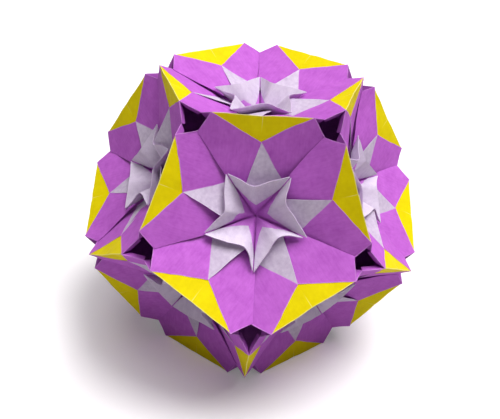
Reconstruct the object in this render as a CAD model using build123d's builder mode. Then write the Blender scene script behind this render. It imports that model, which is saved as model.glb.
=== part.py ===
from build123d import *
import math
import os

# Kusudama paper ball. Thirty folded units lie along the edges of a dodecahedron, each a sheet
# creased into a sharp ridge with one sloping panel on either side. Five panels meet on each face
# in a shallow five-sided pit, and their curled corners make a star at its centre. Each ridge
# carries a slip of another colour, held under the unit's flaps. A tab on the right of each
# panel slides into the pocket of the next unit clockwise. The ball stands on one face, with
# its origin under its centre.

# Driving dimensions, in millimetres and degrees
edge = 42.0  # edge of the dodecahedron
pit_depth = 14.5  # from the plane of a face down to the point where its five panels meet
paper = 0.2  # a folded flap, two plies thick
play = 0.1  # between a loose layer and the layers above and below it
seam_gap = 0.2  # between neighbouring units
ridge_length = 28.0  # visible fold of the slip, from tip to tip
flap_angle = 30.0  # between the ridge and the flaps' edges
insert_tuck = 2.0  # how far the slip reaches under the flaps
tongue_angle = 45.0  # corner of the white tongue, between the right flap and its free edge
tongue_lift = 22.0  # how far the tongue is folded up, over the left flap
tab_margin = 2.0  # from the ends of a seam to the tab
tab_length = 5.0
tab_taper = 1.5
tab_root = 1.5  # width of the fold that carries the tab
star_reach = 15.6  # from the middle of a face to the points of its star
star_rise = 2.0  # height of those points above the panels
petal_reach = 9.2  # from the middle of a face to the crest of a petal
petal_rise = 5.0  # height of the crest above its panel
corner_reach = 3.5  # from the middle of a face to the turned-in paper corner of a petal
hub_sink = 1.3  # depth of the petals' common point below the panels
petal_foot = 0.05  # where a petal leaves its panel, as a share of its length

# The dodecahedron
sides = 5
sector = 360 / sides
half_sector = math.radians(sector / 2)
golden = (1 + math.sqrt(5)) / 2
face_tilt = math.degrees(math.atan(2))  # between the axes of neighbouring faces
inradius = edge / 2 / math.tan(half_sector)
face_height = golden * inradius  # from the ball's centre to each face

# One panel, seen from outside with its ridge at the top: u runs right, v runs down to the hub
slope = pit_depth / inradius
panel_length = math.hypot(inradius, pit_depth)
spread = edge / 2 / panel_length
panel = Plane(origin=(0, inradius, face_height), x_dir=(1, 0, 0), z_dir=(0, slope, -1))
next_panel = Plane(Rotation(0, 0, -sector) * panel.location)
pocket = paper + 2 * play
stack = 2 * paper + pocket
flap_sin = math.sin(math.radians(flap_angle))
flap_cos = math.cos(math.radians(flap_angle))


def seam_at(v):
    """The point of the right-hand seam at a distance below the ridge."""
    return ((panel_length - v) * spread, v)


def meet_seam(u, v, angle):
    """Where a line that leans right by an angle from the middle line meets the right-hand seam."""
    lean = math.radians(angle)
    run = ((panel_length - v) * spread - u) / (math.sin(lean) + math.cos(lean) * spread)
    return (u + run * math.sin(lean), v + run * math.cos(lean))


def flipped(points):
    """The same outline on the other side of the middle line."""
    return [(-u, v) for u, v in points]


def outline(plane, depth, points):
    """A closed outline on a panel, at a depth below its outer face."""
    with BuildSketch(plane.offset(depth)) as sketch:
        with BuildLine():
            Polyline(*points, close=True)
        make_face()
    return sketch.sketch


tip = (ridge_length / 2, 0)
apex = (0, ridge_length / 2 * math.tan(math.radians(flap_angle)))
hub = (0, panel_length)
hole_corner = meet_seam(*tip, flap_angle)
flap_end = meet_seam(*apex, flap_angle)
front_sheet = [tip, apex, *flipped([tip, hole_corner, flap_end]), flap_end, hole_corner]
fold_step = (-paper * flap_cos, paper * flap_sin)
hole_fold = [
    tip,
    hole_corner,
    (hole_corner[0] + fold_step[0], hole_corner[1] + fold_step[1]),
    (tip[0] + fold_step[0], tip[1] + fold_step[1]),
]
back_sheet = [tip, hole_corner, hub, *flipped([hole_corner, tip])]

# The tongue hinges on the right flap's inner edge: x runs along that edge and y to the free edge
flap_edge = Location((*apex, 0), (0, 0, 90 - flap_angle))
tongue_plane = Plane(panel.location * flap_edge * Rotation(-tongue_lift, 0, 0))
tongue_length = math.dist(apex, flap_end)
tongue_width = tongue_length * math.tan(math.radians(tongue_angle))
tongue_outline = [(0, 0), (0, -paper), (tongue_length, -paper), (tongue_length, tongue_width)]

# The tab along the right-hand seam and the fold that it grows from
seam_angle = math.atan(spread)
into_panel = (-math.cos(seam_angle), -math.sin(seam_angle))
along_seam = (-math.sin(seam_angle), math.cos(seam_angle))
tab_start = seam_at(hole_corner[1] + tab_margin)
tab_end = seam_at(flap_end[1] - tab_margin)


def from_seam(point, inward, along):
    """A point that lies off the right-hand seam."""
    return (
        point[0] + inward * into_panel[0] + along * along_seam[0],
        point[1] + inward * into_panel[1] + along * along_seam[1],
    )


tab_fold = [tab_start, tab_end, from_seam(tab_end, tab_root, 0), from_seam(tab_start, tab_root, 0)]
tab = flipped(
    [
        from_seam(tab_start, -tab_root / 2, 0),
        from_seam(tab_end, -tab_root / 2, 0),
        from_seam(tab_end, tab_length, -tab_taper),
        from_seam(tab_start, tab_length, tab_taper),
    ]
)


def above_panel(y, rise):
    """Height of a point over the panel's middle line."""
    return face_height - slope * (inradius - y) + rise


# The curled petal is a strip of a cone, from the hub to an arc through two star points and the crest
star_point_y = star_reach * math.cos(half_sector)
half_chord = star_reach * math.sin(half_sector)
crest = Vector(0, petal_reach, above_panel(petal_reach, petal_rise))
chord_middle = Vector(0, star_point_y, above_panel(star_point_y, star_rise))
petal_root = Vector(0, 0, face_height - pit_depth - hub_sink)
sag = (crest - chord_middle).length
curl_radius = (half_chord**2 + sag**2) / (2 * sag)
curl_angle = math.degrees(math.asin(half_chord / curl_radius)) + math.degrees(seam_gap / curl_radius)
curl_normal = Vector(1, 0, 0).cross(crest - chord_middle)


def petal_section(share, back, front):
    """A band of the petal at a share of its length, between two offsets from its inner face."""
    radius = curl_radius * share
    centre = (0, -radius)
    middle = petal_root + (crest - petal_root) * share
    with BuildSketch(Plane(origin=middle, x_dir=(1, 0, 0), z_dir=curl_normal)) as section:
        with BuildLine():
            inner_arc = CenterArc(centre, radius + front, 90 - curl_angle, 2 * curl_angle)
            outer_arc = CenterArc(centre, radius - back, 90 - curl_angle, 2 * curl_angle)
            Line(inner_arc @ 0, outer_arc @ 0)
            Line(inner_arc @ 1, outer_arc @ 1)
        make_face()
    return section.sketch


with BuildPart() as petal:
    loft([petal_section(petal_foot, paper, 0), petal_section(1, paper, 0)], ruled=True)

# The paper's corner, turned in over the crest, points at the hub. Its raw edges run to the star points
with BuildPart() as turned_corner:
    loft([petal_section(petal_foot, paper / 2, paper), petal_section(1, paper / 2, paper)], ruled=True)
    wide = (2 * half_chord, 2 * star_point_y - corner_reach)
    with BuildSketch(Plane.XY.offset(face_height - pit_depth)):
        with BuildLine():
            Polyline((0, corner_reach), wide, *flipped([wide]), close=True)
        make_face()
    extrude(amount=2 * pit_depth, mode=Mode.INTERSECT)

# The tongue runs in under the petal and ends against its back
with BuildPart() as tongue:
    extrude(outline(tongue_plane, 0, tongue_outline), amount=paper, dir=tongue_plane.z_dir)
    in_front = [petal_section(share, paper / 2, petal_reach) for share in (petal_foot, 1)]
    loft(in_front, ruled=True, mode=Mode.SUBTRACT)

right_seam = Plane(origin=(0, 0, 0), z_dir=(math.cos(half_sector), -math.sin(half_sector), 0))
left_seam = Plane(origin=(0, 0, 0), z_dir=(-math.cos(half_sector), -math.sin(half_sector), 0))
ridge_plane = Plane(origin=(0, 0, 0), z_dir=(0, golden, -1))

with BuildPart() as half_unit:
    extrude(outline(panel, 0, front_sheet), amount=paper, dir=panel.z_dir)
    extrude(outline(panel, 0, hole_fold), amount=stack, dir=panel.z_dir)
    extrude(outline(panel, 0, flipped(hole_fold)), amount=stack, dir=panel.z_dir)
    extrude(outline(panel, stack - paper, back_sheet), amount=paper, dir=panel.z_dir)
    extrude(outline(panel, 0, tab_fold), amount=stack, dir=panel.z_dir)
    add(tongue.part)
    add(petal.part)
    add(turned_corner.part)
    for seam in (right_seam, left_seam):
        split(bisect_by=seam.offset(-seam_gap / 2), keep=Keep.BOTTOM)
    split(bisect_by=ridge_plane, keep=Keep.BOTTOM)
    extrude(outline(next_panel, paper + play, tab), amount=paper, dir=next_panel.z_dir)

# The slip's half, seen the same way
insert_end = (tip[0] - (paper + play) / flap_cos, 0)
insert_wing = (insert_end[0] + insert_tuck * flap_sin, insert_tuck * flap_cos)
insert_point = (0, insert_wing[1] + insert_wing[0] * math.tan(math.radians(flap_angle)))
insert_outline = [insert_end, insert_wing, insert_point, *flipped([insert_wing, insert_end])]

with BuildPart() as half_insert:
    extrude(outline(panel, paper + play, insert_outline), amount=paper, dir=panel.z_dir)
    split(bisect_by=ridge_plane, keep=Keep.BOTTOM)

unit_axis = Axis((0, 0, 0), (0, inradius, face_height))

with BuildPart() as unit:
    add(half_unit.part)
    add(half_unit.part.rotate(unit_axis, 180))

with BuildPart() as insert:
    add(half_insert.part)
    add(half_insert.part.rotate(unit_axis, 180))

# Bands of units from top to bottom: the flip of the face that carries them, and their turn on it
bands = {
    "top": (0, 0),
    "upper": (0, 1),
    "waist_left": (0, 2),
    "waist_right": (0, 3),
    "lower": (180, 1),
    "bottom": (180, 0),
}

os.makedirs("parts", exist_ok=True)
for band, (flip, turn) in bands.items():
    for place in range(sides):
        face = Location((0, 0, face_height)) * Rotation(flip, 0, 0) * Rotation(0, 0, place * sector)
        seat = face * Rotation(face_tilt, 0, 0) * Rotation(0, 0, -turn * sector)
        for name, form in (("unit", unit), ("insert", insert)):
            with BuildPart() as piece:
                with Locations(seat):
                    add(form.part)
            piece.part.label = f"{name}_{band}_{place + 1}"
            export_step(piece.part, f"parts/{piece.part.label}.step")
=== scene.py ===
import bpy
import math
import random
from mathutils import Matrix, Vector


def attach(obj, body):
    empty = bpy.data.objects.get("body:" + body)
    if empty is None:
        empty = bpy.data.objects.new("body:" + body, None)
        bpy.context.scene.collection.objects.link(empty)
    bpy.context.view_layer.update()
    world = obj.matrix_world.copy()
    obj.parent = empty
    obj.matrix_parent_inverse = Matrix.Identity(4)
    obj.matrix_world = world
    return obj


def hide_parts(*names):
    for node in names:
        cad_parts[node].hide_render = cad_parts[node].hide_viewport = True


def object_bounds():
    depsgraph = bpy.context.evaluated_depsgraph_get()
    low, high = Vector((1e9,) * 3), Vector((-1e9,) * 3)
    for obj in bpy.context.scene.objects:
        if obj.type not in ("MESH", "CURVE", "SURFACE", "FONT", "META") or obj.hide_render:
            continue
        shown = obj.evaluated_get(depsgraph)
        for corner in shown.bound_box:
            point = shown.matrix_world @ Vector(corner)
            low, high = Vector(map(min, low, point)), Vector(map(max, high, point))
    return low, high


# A kusudama ball of thirty folded units and thirty yellow slips. One panel is folded on a bench that
# lies at the origin: x runs right, y up to the ridge and z out of the ball. Two panels make a unit,
# and a copy of the unit goes to each edge of the ball.
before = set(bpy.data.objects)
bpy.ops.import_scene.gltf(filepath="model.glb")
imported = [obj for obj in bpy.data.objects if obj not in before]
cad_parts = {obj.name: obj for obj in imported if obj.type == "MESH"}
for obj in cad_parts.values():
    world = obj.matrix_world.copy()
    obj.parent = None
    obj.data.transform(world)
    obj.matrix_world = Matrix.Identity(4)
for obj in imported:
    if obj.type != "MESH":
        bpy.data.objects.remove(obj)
cad_low, cad_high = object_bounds()

# The ball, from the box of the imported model, in metres and degrees
golden = (1 + math.sqrt(5)) / 2
sides = 5
sector = 360 / sides
half_sector = math.radians(sector / 2)
face_tilt = math.degrees(math.atan(2))  # between the axes of neighbouring faces
face_height = (cad_high.z - cad_low.z) / 2  # from the ball's centre to each face
inradius = face_height / golden
edge = 2 * inradius * math.tan(half_sector)

# The paper
mm = 0.001
cell = 1.3 * mm  # mesh of a sheet
sheet = 0.09 * mm  # a folded flap
leaf = 0.08 * mm  # a single ply
fold_width = 0.3 * mm  # strip along a fold that is painted pale, partly for rubbing and partly as a painted highlight
wave_size = 11 * mm  # of the paper's unevenness
wave_height = 0.7 * mm
smooth_angle = math.radians(25)  # the paper looks smooth where it turns by less
touch = 0.01 * mm  # points this close count as one
on_fold = 0.05 * mm  # points this close to a line count as on it

# One panel
pit_depth = 14.5 * mm
ridge_length = 28 * mm
flap_angle = math.radians(30)  # between the ridge and the flaps' edges
slope = pit_depth / inradius
panel_length = math.hypot(inradius, pit_depth)
spread = edge / 2 / panel_length
# How far a layer stops short of the ridge, for each step of its depth
ridge_lean = (inradius**2 + face_height * pit_depth) / (face_height - pit_depth) / inradius

# The flaps, the strips turned in along the holes, and the back sheet
flap_dip = 0.25 * mm  # of the right flap at the seam
flap_dip_reach = 6 * mm
flap_overlap = 0.4 * mm  # of the left flap over the next unit
flap_rise = 0.12 * mm  # of the left flap at the seam
flap_rise_reach = 5 * mm
flap_corner_rise = 1.1 * mm  # of the left flap's lower corner
flap_corner_reach = 16 * mm
unpaled_share = 0.2  # share of a hole's edge, at its lower end, that isn't painted pale
turn_in = 2.2 * mm  # width of the fold along the edge of a hole
turn_in_lean = 55.0  # how far it is folded back under its flap
back_depth = 0.6 * mm  # of the back sheet below the flaps
back_inset = 2.6 * mm  # of the back sheet from the edges of the holes
back_overlap = 0.8 * mm  # of the back sheet past the left-hand seam

# The white tongue
tongue_angle = math.radians(45)  # its corner, between the right flap and its free edge
tongue_tuck = 0.1 * mm  # under the right flap
tongue_depth = leaf / 4  # below the flaps' face
tongue_gap = 0.1 * mm  # from the seams

# The yellow slip
slip_depth = 0.1 * mm  # below the flaps
slip_tuck = 2 * mm  # under the flaps
slip_end_gap = 0.2 * mm  # from the slip's ends to the flaps' tips
crease_dent = 0.15 * mm  # of the crease along its middle
crease_reach = 2.5 * mm
ridge_steps = 4  # in the rounding of its ridge

# The curled petal
star_reach = 15.6 * mm  # from the middle of a face to the points of its star
star_rise = 2.0 * mm  # height of those points above the panels
petal_rise = 5.0 * mm  # height of a crest above its panel
petal_gap = 0.25 * mm  # of a petal's sides from the seams
hub_sink = 1.0 * mm  # depth of the petals' common point below the panels
petal_foot = 0.04  # where a petal starts, as a share of its length
petal_rings = (0.12, 0.22, 0.34, 0.46, 0.58, 0.7, 0.82, 0.91)  # mesh rings, as shares of its length
curl_radius = 6 * mm
curl_points = 120  # of the whole circle
crest_pinch = 0.7 * mm
pinch_reach = 4.5 * mm
wing_stretch = 1.04  # a wing runs on past its star point and is trimmed at the seam
wing_cuts = 7

# The paper's corner that is turned in over the crest
corner_reach = 3.5 * mm  # from the middle of a face to its point
corner_bulge = math.radians(9)  # of its raw edges, towards the seams
corner_cuts = 4  # steps along a raw edge
corner_lift = 0.13 * mm  # over the petal

# Seven units folded by hand: on either panel, how far the petal's crest lies from the middle of the
# face and to the left, in millimetres, and the lift of the tongue, in degrees
hand_folds = [
    ((9.2, 1.0, 8), (8.4, 1.6, 14)),
    ((9.0, 2.2, 14), (8.8, 1.2, 18)),
    ((7.6, 2.2, 12), (8.8, 1.4, 18)),
    ((8.4, 2.4, 18), (8.6, 1.8, 10)),
    ((8.8, 1.4, 25), (9.0, 1.2, 12)),
    ((8.6, 1.6, 16), (9.2, 1.0, 20)),
    ((8.0, 1.8, 6), (8.2, 1.5, 12)),
]


def meet_seam(x, y, angle):
    """Where a line that leans right by an angle from straight down meets the right-hand seam."""
    run = ((panel_length + y) * spread - x) / (math.sin(angle) + math.cos(angle) * spread)
    return (x + run * math.sin(angle), y - run * math.cos(angle))


def flipped(points):
    """The same outline on the other side of the middle line, still counter-clockwise."""
    return [(-x, y) for x, y in reversed(points)]


tip = (ridge_length / 2, 0)
apex = (0, -ridge_length / 2 * math.tan(flap_angle))
hub = (0, -panel_length)
hole_corner = meet_seam(*tip, flap_angle)
flap_end = meet_seam(*apex, flap_angle)
hole_paling_end = tuple(Vector(hole_corner).lerp(Vector(tip), unpaled_share))

panel_seat = Matrix(
    (
        (1, 0, 0, 0),
        (0, inradius / panel_length, -pit_depth / panel_length, inradius),
        (0, pit_depth / panel_length, inradius / panel_length, face_height),
        (0, 0, 0, 1),
    )
)
ridge_axis = Vector((0, inradius, face_height)).normalized()
across_ridge = ridge_axis.cross(Vector((1, 0, 0)))
half_turn = Matrix.Rotation(math.pi, 4, Vector((0, inradius, face_height)))
past_seams = [Vector((side * math.cos(half_sector), -math.sin(half_sector), 0)) for side in (1, -1)]


# Bench tools


def hold(piece):
    """Selects one piece alone and makes it the active one."""
    bpy.ops.object.select_all(action="DESELECT")
    piece.select_set(True)
    bpy.context.view_layer.objects.active = piece


def done():
    """Closes the piece that is open for editing."""
    bpy.ops.object.mode_set(mode="OBJECT")


def edit(piece, selection="DESELECT"):
    """Opens one piece for editing, with nothing selected, or all of it."""
    done()
    hold(piece)
    bpy.ops.object.mode_set(mode="EDIT")
    bpy.ops.mesh.select_mode(type="VERT")
    bpy.ops.mesh.select_all(action=selection)


def pick(piece, test):
    """Opens a piece with the points selected that pass a test."""
    edit(piece)
    done()
    for point in piece.data.vertices:
        point.select = test(point.co)
    bpy.ops.object.mode_set(mode="EDIT")


def push(piece, test, way, reach, falloff="SMOOTH"):
    """Moves the points that pass a test, and draws their neighbours along."""
    pick(piece, test)
    bpy.ops.transform.translate(
        value=way,
        use_proportional_edit=True,
        proportional_edit_falloff=falloff,
        proportional_size=reach,
    )
    done()


def add(piece, kind, **settings):
    """Adds a modifier to a piece and applies it."""
    hold(piece)
    modifier = piece.modifiers.new(kind.lower(), kind)
    for name, value in settings.items():
        setattr(modifier, name, value)
    bpy.ops.object.modifier_apply(modifier=modifier.name)


def settle():
    """Settles the place, turn and size of what is selected into its mesh."""
    bpy.ops.object.transform_apply(location=True, rotation=True, scale=True)


def lay(piece, matrix):
    """Moves a piece and settles the move into its mesh."""
    hold(piece)
    piece.matrix_world = matrix
    settle()


def copy_of(piece, name):
    """A copy with a mesh of its own."""
    hold(piece)
    bpy.ops.object.duplicate(linked=False)
    copy = bpy.context.object
    copy.name = name
    return copy


def joined(pieces, name):
    """Several pieces made one."""
    hold(pieces[0])
    for piece in pieces:
        piece.select_set(True)
    bpy.ops.object.join()
    pieces[0].name = name
    return pieces[0]


def cut(piece, point, outward, trim, close=False):
    """Scores a piece along a plane, or trims off what lies outside it and closes the cut."""
    edit(piece, "SELECT")
    bpy.ops.mesh.bisect(plane_co=point, plane_no=outward, clear_outer=trim, use_fill=close)
    done()


def distance_to(point, start, end):
    """Distance on the bench from a point to a line between two points."""
    along = Vector(end) - Vector(start)
    share = max(0, min(1, (point - Vector(start)).dot(along) / along.length_squared))
    return (point - Vector(start) - along * share).length


def on_line(start, end):
    """A test for points that lie along a line on the bench."""
    return lambda co: distance_to(co.xy, start, end) < on_fold


def at_point(place):
    """A test for the point at a place on the bench."""
    return lambda co: (co.xy - Vector(place)).length < on_fold


def mark_folds(piece, tests):
    """Writes how pale each point is, for rubbing and painted highlight, from 0 to 1: the most any test
    gives it.
    """
    layer = piece.data.attributes.new("fold", "FLOAT", "POINT")
    for point in piece.data.vertices:
        layer.data[point.index].value = max(float(test(point.co)) for test in tests)


def map_paper(piece):
    """The paper's own map: bench millimetres."""
    layer = piece.data.uv_layers.new(name="paper")
    for loop in piece.data.loops:
        layer.data[loop.index].uv = piece.data.vertices[loop.vertex_index].co.xy / mm


def cut_sheet(name, outline, folds, depth=0.0):
    """A flat sheet cut from a fine grid along a convex outline, with its folds scored and marked."""
    low = Vector((min(x for x, y in outline) - cell, min(y for x, y in outline) - cell))
    high = Vector((max(x for x, y in outline) + cell, max(y for x, y in outline) + cell))
    size = high - low
    bpy.ops.object.select_all(action="DESELECT")
    bpy.ops.mesh.primitive_grid_add(
        x_subdivisions=round(size.x / cell),
        y_subdivisions=round(size.y / cell),
        size=1,
        calc_uvs=False,
        location=(*(low + high) / 2, -depth),
    )
    piece = bpy.context.object
    piece.name = name
    piece.scale = (*size, 1)
    settle()
    corners = [Vector((*corner, 0)) for corner in outline]
    for start, end in zip(corners, corners[1:] + corners[:1]):
        outward = (end - start).cross(Vector((0, 0, 1))).normalized()
        cut(piece, start, outward, True)
        cut(piece, start - outward * fold_width, outward, False)
    mark_folds(piece, [lambda co: 0, *(on_line(*fold) for fold in folds)])
    map_paper(piece)
    return piece


def finish_sheet(piece, materials, thickness):
    """Gives a sheet its thickness, below its face, and the finishes of its face, back and rim."""
    for material in materials:
        piece.data.materials.append(material)
    add(
        piece,
        "SOLIDIFY",
        thickness=thickness,
        offset=-1,
        material_offset=1,
        material_offset_rim=2,
    )
    return piece


# Finishes

grain_looks = {  # stretch of the paper's map, scale of the noise on it and its detail
    "Streaks": ((2.0, 0.3, 1.0), 1.0, 3.0),
    "Clouds": ((1.0, 1.0, 1.0), 0.25, 3.0),
    "Mottles": ((1.0, 1.0, 1.0), 0.85, 3.0),
    "Fibres": ((1.0, 1.0, 1.0), 3.5, 5.0),
}
noise_range = (0.3, 0.7)  # where most of a noise lies
paling_range = (0.35, 0.6)  # of the fibres, from those that keep their colour to those painted pale along the folds
paling_shares = (0.5, 1)
roughness_range = (0.62, 0.82)
paper_gloss = 0.1
fibre_bump = 0.25
fibre_height = 0.15 * mm


def feed(tree, socket, value):
    """Links a node's output to a socket, or sets the socket to a plain value."""
    if isinstance(value, bpy.types.NodeSocket):
        tree.links.new(value, socket)
    else:
        socket.default_value = value


def new_node(tree, kind, **inputs):
    """A shader node with values in its inputs and links from other nodes' outputs."""
    made = tree.nodes.new(kind)
    for name, value in inputs.items():
        feed(tree, made.inputs[name.replace("_", " ")], value)
    return made


def attribute(tree, name):
    """What a mesh says of its points under a name."""
    made = tree.nodes.new("ShaderNodeAttribute")
    made.attribute_name = name
    return made.outputs["Fac"]


def spread_over(tree, value, given, wanted):
    """A value's range stretched over another one."""
    made = new_node(
        tree,
        "ShaderNodeMapRange",
        Value=value,
        From_Min=given[0],
        From_Max=given[1],
        To_Min=wanted[0],
        To_Max=wanted[1],
    )
    return made.outputs["Result"]


def mixed(tree, share, first, second):
    """Two colours mixed by a share."""
    made = tree.nodes.new("ShaderNodeMix")
    made.data_type = "RGBA"
    for name, value in (("Factor_Float", share), ("A_Color", first), ("B_Color", second)):
        feed(tree, next(socket for socket in made.inputs if socket.identifier == name), value)
    return next(socket for socket in made.outputs if socket.identifier == "Result_Color")


def math_of(tree, operation, *values):
    """The result of a sum on values and other nodes' outputs."""
    made = tree.nodes.new("ShaderNodeMath")
    made.operation = operation
    for socket, value in zip(made.inputs, values):
        feed(tree, socket, value)
    return made.outputs["Value"]


def srgb(red, green, blue):
    """A colour written as it looks on a screen, from 0 to 255."""
    linear = [
        c / 12.92 if c <= 0.04045 else ((c + 0.055) / 1.055) ** 2.4
        for c in (red / 255, green / 255, blue / 255)
    ]
    return (*linear, 1)


def grain_group():
    """Paper grain: streaks, soft clouds, small mottles and short fibres, on the paper's own map."""
    tree = bpy.data.node_groups.new("paper_grain", "ShaderNodeTree")
    tree.interface.new_socket("Map", in_out="INPUT", socket_type="NodeSocketVector")
    tree.interface.new_socket("Seed", in_out="INPUT", socket_type="NodeSocketFloat")
    for output in grain_looks:
        tree.interface.new_socket(output, in_out="OUTPUT", socket_type="NodeSocketFloat")
    source = tree.nodes.new("NodeGroupInput")
    drain = tree.nodes.new("NodeGroupOutput")
    for output, (stretch, scale, detail) in grain_looks.items():
        stretched = tree.nodes.new("ShaderNodeVectorMath")
        stretched.operation = "MULTIPLY"
        feed(tree, stretched.inputs[0], source.outputs["Map"])
        feed(tree, stretched.inputs[1], stretch)
        noise = new_node(tree, "ShaderNodeTexNoise", Scale=scale, Detail=detail)
        noise.noise_dimensions = "4D"
        feed(tree, noise.inputs["Vector"], stretched.outputs["Vector"])
        feed(tree, noise.inputs["W"], source.outputs["Seed"])
        feed(tree, drain.inputs[output], noise.outputs["Fac"])
    return tree


paper_grain = grain_group()


def paper(name, deep, pale, wear_and_highlight_tone, grain_shares, wear_and_highlight_strength):
    """Coloured paper: grain between two tones, and a pale tone along the folds, partly rubbing and partly
    painted highlight.
    """
    material = bpy.data.materials.new(name)
    material.use_nodes = True
    tree = material.node_tree
    shader = tree.nodes["Principled BSDF"]
    shader.inputs["Specular IOR Level"].default_value = paper_gloss
    paper_map = tree.nodes.new("ShaderNodeUVMap")
    paper_map.uv_map = "paper"
    grain = tree.nodes.new("ShaderNodeGroup")
    grain.node_tree = paper_grain
    feed(tree, grain.inputs["Map"], paper_map.outputs["UV"])
    feed(tree, grain.inputs["Seed"], attribute(tree, "unit_seed"))
    fibres = grain.outputs["Fibres"]
    tone_share = 0.0
    for output, share in grain_shares.items():
        grain_share = spread_over(tree, grain.outputs[output], noise_range, (0, share))
        tone_share = math_of(tree, "ADD", grain_share, tone_share)
    tone = mixed(tree, tone_share, deep, pale)
    fibre_paling = spread_over(tree, fibres, paling_range, paling_shares)
    # The folds are mixed towards the pale tone: partly rubbing, partly a painted highlight.
    wear_and_highlight_share = math_of(tree, "MULTIPLY", attribute(tree, "fold"), fibre_paling)
    wear_and_highlight_share = math_of(tree, "MULTIPLY", wear_and_highlight_share, wear_and_highlight_strength)
    feed(tree, shader.inputs["Base Color"], mixed(tree, wear_and_highlight_share, tone, wear_and_highlight_tone))
    feed(tree, shader.inputs["Roughness"], spread_over(tree, fibres, noise_range, roughness_range))
    bump = new_node(tree, "ShaderNodeBump", Strength=fibre_bump, Distance=fibre_height, Height=fibres)
    feed(tree, shader.inputs["Normal"], bump.outputs["Normal"])
    return material


# Each paper's third tone is its pale tone along the folds: partly rubbing, partly a painted highlight.
purple_side = paper(
    "purple_side",
    srgb(174, 84, 188),
    srgb(202, 112, 214),
    srgb(232, 186, 238),
    {"Streaks": 0.3, "Clouds": 0.4, "Mottles": 0.3},
    0.5,
)
# The white papers' lavender tint: partly purple showing through, partly a painted reflection of the purple
# round them.
white_side = paper(
    "white_side",
    srgb(186, 167, 196),
    srgb(221, 208, 227),
    srgb(224, 212, 231),
    {"Streaks": 0.1, "Clouds": 0.35, "Mottles": 0.55},
    0.7,
)
white_rim = paper(
    "white_rim",
    srgb(202, 187, 212),
    srgb(218, 204, 226),
    srgb(222, 209, 229),
    {"Clouds": 0.5, "Mottles": 0.5},
    0.5,
)
yellow_side = paper(
    "yellow_side",
    srgb(222, 200, 0),
    srgb(238, 219, 0),
    srgb(250, 242, 170),
    {"Streaks": 0.2, "Clouds": 0.5, "Mottles": 0.3},
    0.75,
)

# The finishes of a sheet's face, back and rim
purple_sheet = (purple_side, purple_side, purple_side)
white_sheet = (white_side, purple_side, white_rim)
petal_sheet = (purple_side, white_side, white_rim)
slip_sheet = (yellow_side, yellow_side, yellow_side)


# The flat sheets of a panel


def right_flap():
    """The upper flap on the right, from the slip to the seam, where it dips under the next unit."""
    piece = cut_sheet(
        "right_flap",
        [apex, flap_end, hole_corner, tip],
        [(apex, tip), (tip, hole_paling_end), (apex, flap_end)],
    )
    push(piece, on_line(hole_corner, flap_end), (0, 0, -flap_dip), flap_dip_reach)
    return finish_sheet(piece, purple_sheet, sheet)


def left_flap():
    """The flap on the left. It runs on under the tongue, and over the next unit at the seam."""
    down_hole = Vector((math.sin(flap_angle), -math.cos(flap_angle)))
    over_corner = Vector(hole_corner) + down_hole * flap_overlap
    over_end = (flap_end[0] + flap_overlap, flap_end[1])
    outline = flipped([(0, flap_end[1]), over_end, over_corner, tip, apex])
    piece = cut_sheet("left_flap", outline, [flipped([tip, apex]), flipped([hole_paling_end, tip])])
    push(piece, on_line(*flipped([over_end, over_corner])), (0, 0, flap_rise), flap_rise_reach)
    push(piece, at_point(flipped([over_end])[0]), (0, 0, flap_corner_rise), flap_corner_reach)
    return finish_sheet(piece, purple_sheet, sheet)


def hole_fold(name, side):
    """The strip along the edge of a hole, which is folded in under its flap."""
    along = Vector((side * (hole_corner[0] - tip[0]), hole_corner[1], 0))
    length = along.length
    along.normalize()
    outline = [(0, 0), (turn_in, -turn_in), (length, -turn_in), (length, 0)]
    piece = cut_sheet(name, outline, [((0, 0), (length, 0))])
    finish_sheet(piece, purple_sheet, leaf)
    across = along.cross(Vector((0, 0, 1)))
    upright = Matrix((along, Vector((0, 0, 1)), across)).transposed().to_4x4()
    lean = Matrix.Rotation(math.radians(-side * turn_in_lean), 4, "X")
    lay(piece, Matrix.Translation((side * tip[0], 0, -sheet / 2)) @ upright @ lean)
    return piece


def back_sheet():
    """The sheet under the flaps, which closes the panel down to the hub."""
    top = -ridge_lean * (back_depth + leaf)
    start = tip[0] - back_inset / math.cos(flap_angle)
    shoulder = (start - top * math.tan(flap_angle), top)
    outline = [hub, meet_seam(start, 0, flap_angle), shoulder]
    outline += [(x - back_overlap, y) for x, y in flipped(outline)]
    piece = cut_sheet("back_sheet", outline, [], back_depth)
    return finish_sheet(piece, purple_sheet, leaf)


def flat_sheets():
    """The flaps, folds and back sheet of a panel."""
    folds = [hole_fold("right_hole_fold", 1), hole_fold("left_hole_fold", -1)]
    sheets = joined([right_flap(), left_flap(), back_sheet(), *folds], "flat_sheets")
    lay(sheets, panel_seat)
    return sheets


# The curled petal


def above_panel(y, rise):
    """Height of a point over a panel's middle line."""
    return face_height - slope * (inradius - y) + rise


petal_root = Vector((0, 0, face_height - pit_depth - hub_sink))
star_y = star_reach * math.cos(half_sector)
half_chord = star_reach * math.sin(half_sector)
chord_middle = Vector((0, star_y, above_panel(star_y, star_rise)))


def star_point(side):
    """The point of the star on the right, 1, or the left, -1, of a petal."""
    return chord_middle + Vector((side * half_chord, 0, 0))


class Curl:
    """The curl of a petal, whose crest lies at a distance from the middle of the face and to the left."""

    def __init__(self, reach, left):
        middle = Vector((0, reach, above_panel(reach, petal_rise)))
        self.way = (middle - chord_middle).normalized()
        self.crest = middle - Vector((left, 0, 0))
        self.pinch = self.way * crest_pinch
        self.top = self.crest - self.pinch
        self.centre = self.top - self.way * curl_radius
        self.tilt = math.atan2(self.way.z, self.way.y)
        self.outward = self.way.cross(Vector((1, 0, 0)))

    def past_curl(self, co):
        """Whether a point of the full circle lies past the place where a straight wing leaves it."""
        to_star = star_point(1 if co.x > self.centre.x else -1) - self.centre
        wing_angle = math.pi - math.acos(curl_radius / to_star.length) - to_star.angle(-self.way)
        return (co - self.centre).angle(self.way) > wing_angle

    def at_crest(self, co):
        """Whether a point of the petal lies on its crest."""
        return abs((co - self.crest).dot(self.outward)) < fold_width


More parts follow.
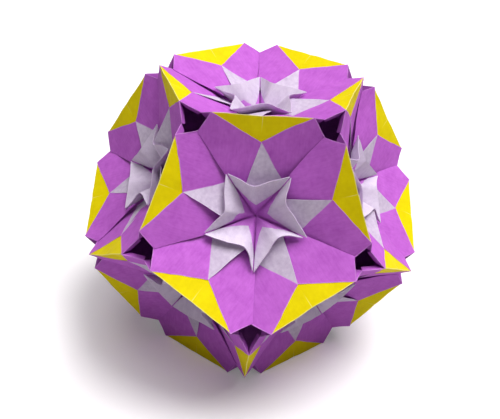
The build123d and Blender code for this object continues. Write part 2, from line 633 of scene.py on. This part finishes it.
def crest_line(name, curl):
    """A line along a petal's crest from one star point to the other, rounded and pinched in its middle."""
    bpy.ops.object.select_all(action="DESELECT")
    bpy.ops.mesh.primitive_circle_add(
        vertices=curl_points,
        radius=curl_radius,
        fill_type="NOTHING",
        calc_uvs=False,
        location=curl.centre,
        rotation=(curl.tilt, 0, 0),
    )
    piece = bpy.context.object
    piece.name = name
    settle()
    pick(piece, curl.past_curl)
    bpy.ops.mesh.delete(type="VERT")
    done()
    for side in (1, -1):
        end = max(piece.data.vertices, key=lambda point: side * point.co.x).co.copy()
        wing = (star_point(side) - end) * wing_stretch
        pick(piece, lambda co: (co - end).length < touch)
        bpy.ops.mesh.extrude_vertices_move(TRANSFORM_OT_translate={"value": wing})
        done()
        pick(piece, lambda co: side * co.x > side * end.x - touch)
        bpy.ops.mesh.subdivide(number_cuts=wing_cuts)
        done()
    push(piece, lambda co: (co - curl.top).length < touch, curl.pinch, pinch_reach, "LINEAR")
    return piece


def cone_strip(name, curl):
    """The sheet of a petal: the crest's arc drawn down to a point under the hub."""
    piece = crest_line(name, curl)
    edit(piece, "SELECT")
    bpy.ops.mesh.extrude_edges_move()
    bpy.ops.transform.resize(value=(petal_foot,) * 3, center_override=petal_root)
    done()
    for share in petal_rings:
        cut(piece, petal_root.lerp(curl.crest, share), curl.crest - petal_root, False)
    for outward in past_seams:
        cut(piece, -outward * petal_gap, outward, True)
    edit(piece, "SELECT")
    bpy.ops.mesh.normals_make_consistent(inside=False)
    done()
    middle = piece.data.polygons[len(piece.data.polygons) // 2]
    if middle.normal.dot(Vector((0, -1, 1))) < 0:
        edit(piece, "SELECT")
        bpy.ops.mesh.flip_normals()
        done()
    return piece


def petal(curl):
    """The petal's own sheet, purple towards the hub and white behind."""
    piece = cone_strip("petal", curl)
    mark_folds(piece, [curl.at_crest])
    map_paper(piece)
    return finish_sheet(piece, petal_sheet, sheet)


def turned_corner(curl):
    """The paper's corner, turned in over the crest, with its white side out and its point at the hub."""
    piece = cone_strip("turned_corner", curl)
    raw_edge = Vector((half_chord, star_y - corner_reach, 0))
    lean = math.atan2(raw_edge.y, raw_edge.x)
    sag = raw_edge.length / 2 * math.tan(corner_bulge / 2)
    for step in range(corner_cuts + 1):
        share = step / corner_cuts
        angle = lean + (2 * share - 1) * corner_bulge
        bow = Vector((math.sin(lean), -math.cos(lean), 0)) * 4 * sag * share * (1 - share)
        place = Vector((0, corner_reach, 0)) + raw_edge * share + bow
        for side in (1, -1):
            outward = Vector((side * math.sin(angle), -math.cos(angle), 0))
            cut(piece, Vector((side * place.x, place.y, 0)), outward, True)
    edit(piece, "SELECT")
    bpy.ops.transform.shrink_fatten(value=corner_lift)
    done()
    mark_folds(piece, [curl.at_crest])
    map_paper(piece)
    return finish_sheet(piece, white_sheet, leaf)


# The tongue, which ends against the petal


def petal_front(curl):
    """A solid that fills the room in front of a petal, to trim the tongue with."""
    room = 3.2  # its size, in sizes of the crest's line
    point = 0.02  # of that size, at the hub
    piece = crest_line("petal_front", curl)
    edit(piece, "SELECT")
    bpy.ops.mesh.extrude_edges_move()
    bpy.ops.transform.resize(value=(room,) * 3, center_override=curl.centre)
    bpy.ops.mesh.select_all(action="SELECT")
    bpy.ops.mesh.extrude_region_move()
    bpy.ops.transform.resize(value=(point,) * 3, center_override=petal_root)
    bpy.ops.mesh.select_all(action="SELECT")
    bpy.ops.mesh.normals_make_consistent(inside=False)
    done()
    lay(piece, Matrix.Translation(Vector((0, 1, -1)).normalized() * sheet / 2))
    return piece


def tongue(curl, lift):
    """The white tongue. It hinges on the right flap's inner edge, lifts, and ends against the petal."""
    down = Vector((math.sin(flap_angle), -math.cos(flap_angle)))
    across = Vector((-math.cos(flap_angle), -math.sin(flap_angle)))
    length = (Vector(flap_end) - Vector(apex)).length
    far = Vector(apex) + down * length
    corner = far + across * length * math.tan(tongue_angle)
    tuck = Vector(apex) + (down - across) * tongue_tuck
    outline = [apex, tuple(corner), tuple(far - across * tongue_tuck), tuple(tuck)]
    piece = cut_sheet("tongue", outline, [(apex, tuple(corner))], tongue_depth)
    hinge = Matrix.Rotation(math.radians(-lift), 4, (*down, 0))
    pivot = Matrix.Translation((*apex, 0))
    lay(piece, pivot @ hinge @ pivot.inverted())
    finish_sheet(piece, white_sheet, leaf)
    lay(piece, panel_seat)
    trimmer = petal_front(curl)
    add(piece, "BOOLEAN", object=trimmer, operation="DIFFERENCE", solver="EXACT")
    bpy.data.objects.remove(trimmer)
    for outward in past_seams:
        cut(piece, -outward * tongue_gap, outward, True, close=True)
    return piece


# The unit


def panel(sheets, crest_reach, crest_left, lift):
    """A whole panel, with its petal and its tongue."""
    curl = Curl(crest_reach * mm, crest_left * mm)
    pieces = [copy_of(sheets, "panel"), petal(curl), turned_corner(curl), tongue(curl, lift)]
    return joined(pieces, "panel")


def unit(sheets, first, second):
    """A whole unit: two panels that share a ridge."""
    half = panel(sheets, *first)
    other = panel(sheets, *second)
    lay(other, half_turn)
    return joined([half, other], "unit_model")


# The slip


def ridge_highlight(co):
    """Painted highlight: the slip's ridge is painted pale where its fold turns up to the light."""
    return abs(co.dot(across_ridge)) < 0.3 * fold_width


def middle_wear(co):
    """The crease along the slip's middle is pale at the ridge and fades towards the slip's point."""
    fading = 3.5  # how fast, over the height of the slip's visible half
    from_ridge = abs(co.dot(across_ridge)) / -apex[1]
    return (abs(co.x) < touch) * max(0, 1 - fading * from_ridge)


def end_wear(co):
    """The slip's ends are pale from rubbing."""
    return abs(co.x) > tip[0] - 1.5 * slip_end_gap


def slip():
    """A yellow slip, creased over the ridge and along its middle."""
    top = -ridge_lean * slip_depth
    end = (tip[0] - slip_end_gap, top)
    wing = (end[0] + slip_tuck * math.sin(flap_angle), top - slip_tuck * math.cos(flap_angle))
    point = (0, wing[1] - wing[0] * math.tan(flap_angle))
    outline = [point, wing, end, *flipped([wing, end])]
    piece = cut_sheet("half_slip", outline, [], slip_depth)
    for x in (-fold_width / 2, 0, fold_width / 2):
        cut(piece, Vector((x, 0, 0)), Vector((1, 0, 0)), False)
    lay(piece, panel_seat)
    other = copy_of(piece, "other_half_slip")
    lay(other, half_turn)
    whole = joined([piece, other], "slip_model")
    edit(whole, "SELECT")
    bpy.ops.mesh.remove_doubles(threshold=2 * touch)
    done()
    push(whole, lambda co: abs(co.x) < touch, -ridge_axis * crease_dent, crease_reach, "LINEAR")
    pick(whole, lambda co: abs(co.dot(across_ridge)) < touch)
    bpy.ops.mesh.bevel(offset=fold_width / 2, segments=ridge_steps, affect="EDGES")
    done()
    whole.data.attributes.remove(whole.data.attributes["fold"])
    # The slip's ridge gets a painted highlight; its crease and ends are pale from rubbing.
    mark_folds(whole, [ridge_highlight, middle_wear, end_wear])
    return finish_sheet(whole, slip_sheet, leaf)


# The ball: bands of units from top to bottom, with the flip of the face that carries them and
# their turn on it
bands = {
    "top": (0, 0),
    "upper": (0, 1),
    "waist_left": (0, 2),
    "waist_right": (0, 3),
    "lower": (180, 1),
    "bottom": (180, 0),
}
waviness = bpy.data.textures.new("paper_waviness", type="CLOUDS")
waviness.noise_scale = wave_size
waviness.cloud_type = "COLOR"
chance = random.Random(30)
seed_range = 100


def turned(axis, degrees):
    """A turn about an axis of the ball."""
    return Matrix.Rotation(math.radians(degrees), 4, axis)


def seat(flip, turns, place):
    """Where a unit made on the top face goes."""
    face = Matrix.Translation((0, 0, face_height)) @ turned("X", flip) @ turned("Z", place * sector)
    return face @ turned("X", face_tilt) @ turned("Z", -turns * sector)


def place_copy(model, name, matrix, node):
    """Copies a model to its seat, with a little unevenness of its own, in place of a node."""
    piece = copy_of(model, name)
    lay(piece, matrix)
    add(
        piece,
        "DISPLACE",
        texture=waviness,
        texture_coords="LOCAL",
        direction="RGB_TO_XYZ",
        strength=wave_height,
        mid_level=0.5,
    )
    seed = piece.data.attributes.new("unit_seed", "FLOAT", "POINT")
    seed.data.foreach_set("value", [chance.uniform(0, seed_range)] * len(piece.data.vertices))
    bpy.ops.object.shade_smooth_by_angle(angle=smooth_angle)
    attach(piece, "root")
    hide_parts(node)


sheets = flat_sheets()
unit_models = [unit(sheets, *folds) for folds in hand_folds]
slip_models = [slip()]
papers = {"unit": (unit_models, "unit_paper"), "insert": (slip_models, "insert_paper")}
for kind, (models, slot) in papers.items():
    for number, (band, (flip, turns)) in enumerate(bands.items()):
        for place in range(sides):
            node = f"{kind}_{band}_{place + 1}"
            model = models[(number + place) % len(models)]
            place_copy(model, f"folded_{node}", seat(flip, turns, place), node)
for model in [sheets, *unit_models, *slip_models]:
    bpy.data.objects.remove(model)


# The stage, in metres, degrees and watts

floor_size = 6
floor_bounce = srgb(200, 200, 200)  # what it throws back on the ball
floor_tone = srgb(246, 244, 245)  # what the camera sees
floor_glow = srgb(255, 250, 252)
floor_roughness = 0.9
whitening = (0.25, 0.7)  # distances from the ball over which it turns white
glow_range = (0.15, 0.8)
lamp_distance = 3
lamps = {  # azimuth, elevation, width and power
    "key_lamp": (82, 70, 1.8, 84),
    "top_lamp": (0, 88, 2.6, 54),
    "fill_lamp": (-10, 3, 3, 13),
}
white = srgb(255, 255, 255)
sky_light = 0.01
ball_centre = Vector((0, 0, face_height))


def looked_at(tree):
    """1 for rays from the camera, straight or by way of a mirror or glass, and 0 for light."""
    path = tree.nodes.new("ShaderNodeLightPath").outputs
    mirrored = math_of(tree, "MAXIMUM", path["Is Glossy Ray"], path["Is Transmission Ray"])
    return math_of(tree, "MAXIMUM", path["Is Camera Ray"], mirrored)


def two_faced(tree, output, light, seen):
    """Joins what gives light and what the camera sees."""
    mix = tree.nodes.new("ShaderNodeMixShader")
    feed(tree, mix.inputs[0], looked_at(tree))
    feed(tree, mix.inputs[1], light.outputs[0])
    feed(tree, mix.inputs[2], seen.outputs[0])
    feed(tree, tree.nodes.new(output).inputs[0], mix.outputs[0])


def floor():
    """A floor that keeps the shadow of the ball, turns white farther off and throws back some light."""
    bpy.ops.object.select_all(action="DESELECT")
    bpy.ops.mesh.primitive_plane_add(size=floor_size)
    piece = bpy.context.object
    piece.name = "floor"
    material = bpy.data.materials.new("floor")
    material.use_nodes = True
    tree = material.node_tree
    tree.nodes.clear()
    from_ball = tree.nodes.new("ShaderNodeVectorMath")
    from_ball.operation = "LENGTH"
    feed(tree, from_ball.inputs[0], tree.nodes.new("ShaderNodeTexCoord").outputs["Object"])
    light = new_node(tree, "ShaderNodeBsdfDiffuse", Color=floor_bounce)
    seen = new_node(
        tree,
        "ShaderNodeBsdfPrincipled",
        Base_Color=floor_tone,
        Roughness=floor_roughness,
        Emission_Color=floor_glow,
        Emission_Strength=spread_over(tree, from_ball.outputs["Value"], whitening, glow_range),
    )
    two_faced(tree, "ShaderNodeOutputMaterial", light, seen)
    piece.data.materials.append(material)


def looking_way(azimuth, elevation):
    """The way from the ball to a lamp or camera. Azimuth 0 is in front and 90 on the right."""
    azimuth = math.radians(azimuth)
    elevation = math.radians(elevation)
    level = Vector((math.sin(azimuth), -math.cos(azimuth), 0)) * math.cos(elevation)
    return level + Vector((0, 0, math.sin(elevation)))


def lamp(name, azimuth, elevation, width, power):
    """A soft round lamp that looks at the ball."""
    way = looking_way(azimuth, elevation)
    bpy.ops.object.light_add(type="AREA", location=ball_centre + way * lamp_distance)
    made = bpy.context.object
    made.name = name
    made.data.shape = "DISK"
    made.data.size = width
    made.data.energy = power
    made.rotation_euler = way.to_track_quat("Z", "Y").to_euler()


def sky():
    """Even light from all round, and white where the camera sees it."""
    world = bpy.data.worlds.new("studio")
    bpy.context.scene.world = world
    world.use_nodes = True
    tree = world.node_tree
    tree.nodes.clear()
    light = new_node(tree, "ShaderNodeBackground", Color=white, Strength=sky_light)
    seen = new_node(tree, "ShaderNodeBackground", Color=white, Strength=1.0)
    two_faced(tree, "ShaderNodeOutputWorld", light, seen)


def camera():
    """The photograph's view: its angles round the ball, distance and focal length in pixels."""
    azimuth = -1.96
    elevation = 31.49
    roll = math.radians(4.02)
    distance = 230.6 * mm
    frame_width, frame_height = 500, 419
    focal, axis_x, axis_y = 675.15, 252.77, 206.42
    back = looking_way(azimuth, elevation)
    across = Vector((math.cos(math.radians(azimuth)), math.sin(math.radians(azimuth)), 0))
    up = back.cross(across)
    right = across * math.cos(roll) + up * math.sin(roll)
    turned_up = up * math.cos(roll) - across * math.sin(roll)
    turn = Matrix((right, turned_up, back)).transposed().to_4x4()
    bpy.ops.object.camera_add()
    made = bpy.context.object
    made.matrix_world = Matrix.Translation(ball_centre + back * distance) @ turn
    made.data.sensor_width = 36
    made.data.lens = focal * made.data.sensor_width / frame_width
    made.data.shift_x = (frame_width / 2 - axis_x) / frame_width
    made.data.shift_y = (axis_y - frame_height / 2) / frame_width
    made.data.clip_start = 10 * mm
    bpy.context.scene.camera = made


floor()
for name, setting in lamps.items():
    lamp(name, *setting)
sky()
camera()
bpy.context.scene.view_settings.view_transform = "Standard"
